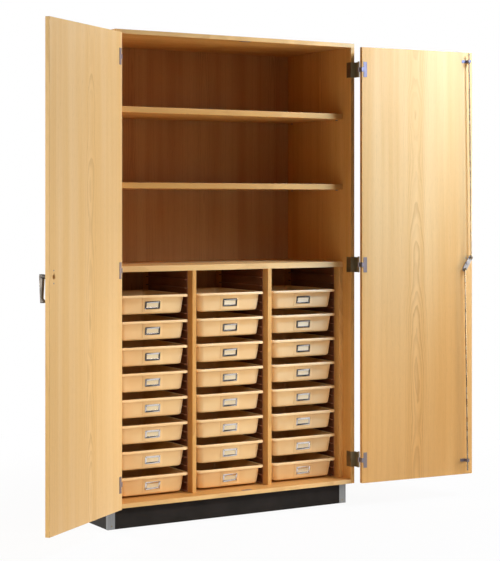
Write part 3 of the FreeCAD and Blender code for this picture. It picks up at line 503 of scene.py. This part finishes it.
tray = {
    "bodyWidth": 325.93 * mm, "bodyLength": 404.0 * mm, "corner": 24 * mm, "cornerSteps": 6, "wall": 2.4 * mm,
    "centreY": 11.5 * mm, "rimTop": 213.0 * mm, "pitch": 112.0 * mm, "columnPitch": 387.33 * mm, "rows": 8,
    "draft": math.radians(7), "smooth": math.radians(38),
    # the inner skin from the floor's edge up the wall and over the rim: outward step and height
    "skin": [(-20.3, -80.5), (-16.4, -80.0), (-13.4, -77.6), (-12.0, -74.0), (-7.4, -38.0), (-3.2, -4.0),
             (-2.4, -1.4), (-0.6, -0.2), (1.6, 0.0), (9.6, 0.0), (11.6, -0.8), (12.7, -2.6), (13.0, -4.6),
             (13.0, -10.9)],
}


# lies in its own XY plane
def roundedFace(shape, width, length, corner, segments):
    made = bmesh.ops.create_grid(shape, x_segments=1, y_segments=1, size=0.5)
    bmesh.ops.scale(shape, vec=(width, length, 1.0), verts=made["verts"])
    bmesh.ops.bevel(shape, geom=made["verts"], offset=corner, offset_type="OFFSET", segments=segments,
                    profile=0.5, affect="VERTICES", material=-1, clamp_overlap=True)


def turnUp(shape):
    bmesh.ops.recalc_face_normals(shape, faces=shape.faces)
    lowest = min(shape.faces, key=lambda face: face.calc_center_median().z)
    if lowest.normal.z < 0:
        bmesh.ops.reverse_faces(shape, faces=shape.faces)


# the floor face, then one loop after another up the wall and over the rim
def buildTrayShell(shape):
    step, z = tray["skin"][0]
    halfX = tray["bodyWidth"] / 2 + step * mm
    halfY = tray["bodyLength"] / 2 + step * mm
    roundedFace(shape, 2 * halfX, 2 * halfY, tray["corner"], tray["cornerSteps"])
    bmesh.ops.translate(shape, vec=(0, 0, z * mm), verts=shape.verts)
    loop = [edge for edge in shape.edges if edge.is_boundary]
    for step, nextZ in tray["skin"][1:]:
        made = bmesh.ops.extrude_edge_only(shape, edges=loop)["geom"]
        loop = [item for item in made if isinstance(item, bmesh.types.BMEdge)]
        verts = [item for item in made if isinstance(item, bmesh.types.BMVert)]
        nextX = tray["bodyWidth"] / 2 + step * mm
        nextY = tray["bodyLength"] / 2 + step * mm
        bmesh.ops.scale(shape, vec=(nextX / halfX, nextY / halfY, 1.0), verts=verts)
        bmesh.ops.translate(shape, vec=(0, 0, (nextZ - z) * mm), verts=verts)
        halfX, halfY, z = nextX, nextY, nextZ
    turnUp(shape)
    bmesh.ops.solidify(shape, geom=shape.faces, thickness=tray["wall"])


# a slab that follows the leaning front wall, carrying the label holder
pad = {"width": 96 * mm, "top": 8 * mm, "bottom": 73 * mm, "deep": 4 * mm, "proud": 1.5 * mm,
       "ease": 0.8 * mm}


def isFrontUpright(edge):
    first, second = edge.verts[0].co, edge.verts[1].co
    return abs(first.x - second.x) < mm and abs(first.y - second.y) < mm and first.y < 0


def buildLabelPad(shape):
    made = bmesh.ops.create_cube(shape, size=1.0)["verts"]
    bmesh.ops.scale(shape, vec=(pad["width"], pad["deep"], pad["bottom"] - pad["top"]), verts=made)
    roundEdges(shape, [edge for edge in shape.edges if isFrontUpright(edge)], pad["ease"])


# the frame and its card lie flat with their faces towards +Z, and are leant onto the tray afterwards
label = {"width": 74 * mm, "height": 35 * mm, "border": 8.5 * mm, "corner": 4 * mm, "cornerSteps": 3,
         "thickness": 2 * mm, "drop": 44 * mm, "ease": 0.5 * mm, "sharp": math.radians(50), "frontShare": 0.9}
card = {"trim": 4 * mm, "corner": 2 * mm, "cornerSteps": 2, "thickness": 0.5 * mm}


def buildLabelFrame(shape):
    roundedFace(shape, label["width"], label["height"], label["corner"], label["cornerSteps"])
    face = max(shape.faces, key=lambda one: one.calc_area())
    bmesh.ops.inset_region(shape, faces=[face], thickness=label["border"], use_even_offset=True,
                           use_boundary=True)
    bmesh.ops.delete(shape, geom=[face], context="FACES_ONLY")
    turnUp(shape)
    bmesh.ops.translate(shape, vec=(0, 0, label["thickness"]), verts=shape.verts)
    bmesh.ops.solidify(shape, geom=shape.faces, thickness=label["thickness"])
    front = label["thickness"] * label["frontShare"]
    sharp = [edge for edge in shape.edges if edge.calc_face_angle(0.0) > label["sharp"]
             and min(vert.co.z for vert in edge.verts) > front]
    roundEdges(shape, sharp, label["ease"])


def buildCard(shape):
    roundedFace(shape, label["width"] - card["trim"], label["height"] - card["trim"], card["corner"],
                card["cornerSteps"])
    turnUp(shape)
    made = bmesh.ops.extrude_face_region(shape, geom=shape.faces[:])["geom"]
    verts = [item for item in made if isinstance(item, bmesh.types.BMVert)]
    bmesh.ops.translate(shape, vec=(0, 0, card["thickness"]), verts=verts)
    bmesh.ops.recalc_face_normals(shape, faces=shape.faces)


def leanPlace(drop, proud):
    front = -(tray["bodyLength"] / 2 + proud) + drop * math.tan(tray["draft"])
    return Matrix.Translation((0, front, -drop)) @ Matrix.Rotation(math.pi / 2 + tray["draft"], 4, "X")


def addPart(whole, build, place, materialIndex):
    part = bmesh.new()
    build(part)
    bmesh.ops.transform(part, matrix=place, verts=part.verts)
    for face in part.faces:
        face.material_index = materialIndex
    spare = bpy.data.meshes.new("spare")
    part.to_mesh(spare)
    part.free()
    whole.from_mesh(spare)
    bpy.data.meshes.remove(spare)


def buildTrayMaster():
    whole = bmesh.new()
    addPart(whole, buildTrayShell, Matrix.Identity(4), 0)
    padPlace = leanPlace((pad["top"] + pad["bottom"]) / 2, pad["proud"] - pad["deep"] / 2)
    addPart(whole, buildLabelPad, padPlace @ Matrix.Rotation(-math.pi / 2, 4, "X"), 0)
    addPart(whole, buildLabelFrame, leanPlace(label["drop"], pad["proud"]), 1)
    addPart(whole, buildCard, leanPlace(label["drop"], pad["proud"]), 2)
    return whole


def placeTrays():
    master = buildTrayMaster()
    for column, columnName in ((-1, "left"), (0, "middle"), (1, "right")):
        for row in range(tray["rows"]):
            nodeName = f"tray_{columnName}_{tray['rows'] - row}"
            z = tray["rimTop"] + row * tray["pitch"]
            mesh = bpy.data.meshes.new(nodeName + "Moulded")
            master.to_mesh(mesh)
            mesh.transform(Matrix.Translation((column * tray["columnPitch"], tray["centreY"], z)))
            for finishName in ("trayPlastic", "labelMetal", "cardPaper"):
                mesh.materials.append(finishOf[finishName])
            for face in mesh.polygons:
                face.use_smooth = True
            mesh.set_sharp_from_angle(angle=tray["smooth"])
            piece = addObject(nodeName + "Moulded", mesh)
            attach(piece, bodyOf[nodeName])
            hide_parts(nodeName)
    master.free()


placeTrays()
print("trays placed")


# studio: a pale floor, a white surround and soft lamps
floorLook = {"half": 14.0, "colour": (0.85, 0.85, 0.85, 1.0), "litEdge": (1.3, 2.3), "darkGlow": 0.06,
             "whiteEdge": (0.8, 2.6), "glowLeast": 0.94, "glowRise": 0.06}


def makeStage():
    floor = bmesh.new()
    bmesh.ops.create_grid(floor, x_segments=1, y_segments=1, size=floorLook["half"])
    mesh = bpy.data.meshes.new("studioFloor")
    floor.to_mesh(mesh)
    floor.free()
    material = bpy.data.materials.new("studioFloor")
    material.use_nodes = True
    tree = material.node_tree
    tree.nodes.clear()
    output = addNode(tree, "ShaderNodeOutputMaterial")
    diffuse = addNode(tree, "ShaderNodeBsdfDiffuse")
    diffuse.inputs["Color"].default_value = floorLook["colour"]
    glow = addNode(tree, "ShaderNodeEmission")
    shade = addNode(tree, "ShaderNodeEmission")
    shade.inputs["Strength"].default_value = floorLook["darkGlow"]
    rays = addNode(tree, "ShaderNodeLightPath").outputs
    coords = addNode(tree, "ShaderNodeTexCoord")
    away = addNode(tree, "ShaderNodeVectorMath", operation="LENGTH")
    feed(tree, coords.outputs["Object"], away.inputs[0])
    seen = calc(tree, "MAXIMUM", rays["Is Camera Ray"], rays["Is Glossy Ray"])
    seen = calc(tree, "MAXIMUM", seen, rays["Is Transmission Ray"])
    # the floor runs out to pure white
    fade = smoothStep(tree, away.outputs["Value"], *floorLook["whiteEdge"])
    glowShare = calc(tree, "MULTIPLY_ADD", fade, floorLook["glowRise"], floorLook["glowLeast"])
    lit = mixShaders(tree, calc(tree, "MULTIPLY", seen, glowShare), diffuse.outputs[0], glow.outputs[0])
    # in reflections the lit floor ends a few steps from the cabinet
    dark = smoothStep(tree, away.outputs["Value"], *floorLook["litEdge"])
    hidden = calc(tree, "MULTIPLY", rays["Is Glossy Ray"], dark)
    feed(tree, mixShaders(tree, hidden, lit, shade.outputs[0]), output.inputs["Surface"])
    mesh.materials.append(material)
    piece = addObject("studioFloor", mesh)


surround = {"ambient": 0.025, "ambientColour": (0.8, 0.93, 1.2, 1.0), "white": (1.0, 1.0, 1.0, 1.0),
            "horizon": (-0.03, 0.03)}


def makeWorld():
    world = bpy.data.worlds.new("studioWorld")
    bpy.context.scene.world = world
    world.use_nodes = True
    tree = world.node_tree
    tree.nodes.clear()
    output = addNode(tree, "ShaderNodeOutputWorld")
    plain = addNode(tree, "ShaderNodeBackground")
    plain.inputs["Color"].default_value = surround["ambientColour"]
    plain.inputs["Strength"].default_value = surround["ambient"]
    white = addNode(tree, "ShaderNodeBackground")
    white.inputs["Color"].default_value = surround["white"]
    rays = addNode(tree, "ShaderNodeLightPath").outputs
    coords = addNode(tree, "ShaderNodeTexCoord")
    up = splitVector(tree, coords.outputs["Generated"])["Z"]
    # in reflections the surround is white above the horizon only
    mirrored = calc(tree, "MULTIPLY", rays["Is Glossy Ray"], smoothStep(tree, up, *surround["horizon"]))
    seen = calc(tree, "MAXIMUM", rays["Is Camera Ray"], mirrored)
    seen = calc(tree, "MAXIMUM", seen, rays["Is Transmission Ray"])
    feed(tree, mixShaders(tree, seen, plain.outputs[0], white.outputs[0]), output.inputs["Surface"])


# a lamp with a cone is a spot, and one with a size is a round soft box
lamps = {
    "keyLamp": {"place": (1.75, -1.75, 3.4), "aim": (0.6, -0.2, 1.5), "size": 0.9, "power": 76.0,
                "tint": (0.92, 1.0, 1.2)},
    "sideLamp": {"place": (3.6, -1.9, 1.0), "aim": (-0.8, -0.4, 1.1), "size": 1.4, "power": 70.0,
                 "tint": (1.0, 0.9, 0.7)},
    "edgeLamp": {"place": (-4.5, -0.35, 1.3), "aim": (-1.1, -0.7, 1.1), "size": 1.4, "power": 102.0,
                 "tint": (1.0, 0.95, 0.82)},
    "doorLamp": {"place": (1.9, -2.0, 3.2), "aim": (0.96, -0.35, 1.74), "cone": 36.0, "soft": 0.3,
                 "power": 232.0, "tint": (0.2, 0.72, 1.9)},
    "leftLamp": {"place": (1.6, -4.2, 1.9), "aim": (-1.05, -0.75, 0.65), "cone": 26.0, "soft": 0.3,
                 "power": 78.0, "tint": (1.0, 1.0, 1.0)},
    "trayLamp": {"place": (-0.6, -4.3, 2.2), "aim": (-0.05, -0.3, 0.47), "cone": 23.5, "soft": 0.25,
                 "power": 285.0, "tint": (1.0, 0.95, 0.88)},
    "backLamp": {"place": (-1.2, 4.2, 1.4), "aim": (0.0, 0.2, 1.0), "size": 1.4, "power": 170.0,
                 "tint": (1.0, 0.98, 0.95)},
}
spotBlend = 0.8


def makeLamps():
    for name, lamp in lamps.items():
        if "cone" in lamp:
            light = bpy.data.lights.new(name, "SPOT")
            light.spot_size = math.radians(lamp["cone"])
            light.spot_blend = spotBlend
            light.shadow_soft_size = lamp["soft"]
        else:
            light = bpy.data.lights.new(name, "AREA")
            light.shape = "DISK"
            light.size = lamp["size"]
        light.energy = lamp["power"]
        light.color = lamp["tint"]
        holder = addObject(name, light)
        holder.location = lamp["place"]
        away = Vector(lamp["place"]) - Vector(lamp["aim"])
        holder.rotation_euler = away.to_track_quat("Z", "Y").to_euler()


# the photograph's camera stands level; focal length and principal point are in pixels of a 500 x 561 frame
shot = {"place": (-3.50977, -6.35228, 1.38899), "yaw": 31.2416, "focal": 1584.627, "axisX": 273.897,
        "axisY": 204.819, "wide": 500.0, "tall": 561.0, "sensor": 36.0, "clip": 60.0}


def makeCamera():
    camera = bpy.data.cameras.new("shotCamera")
    camera.sensor_width = shot["sensor"]
    camera.lens = shot["focal"] * shot["sensor"] / shot["tall"]
    camera.shift_x = (shot["wide"] / 2 - shot["axisX"]) / shot["tall"]
    camera.shift_y = (shot["axisY"] - shot["tall"] / 2) / shot["tall"]
    camera.clip_end = shot["clip"]
    holder = addObject("shotCamera", camera)
    holder.location = shot["place"]
    holder.rotation_euler = (math.pi / 2, 0.0, -math.radians(shot["yaw"]))
    bpy.context.scene.camera = holder


makeStage()
makeWorld()
makeLamps()
makeCamera()
bpy.context.scene.view_settings.view_transform = "Standard"
print("studio set")
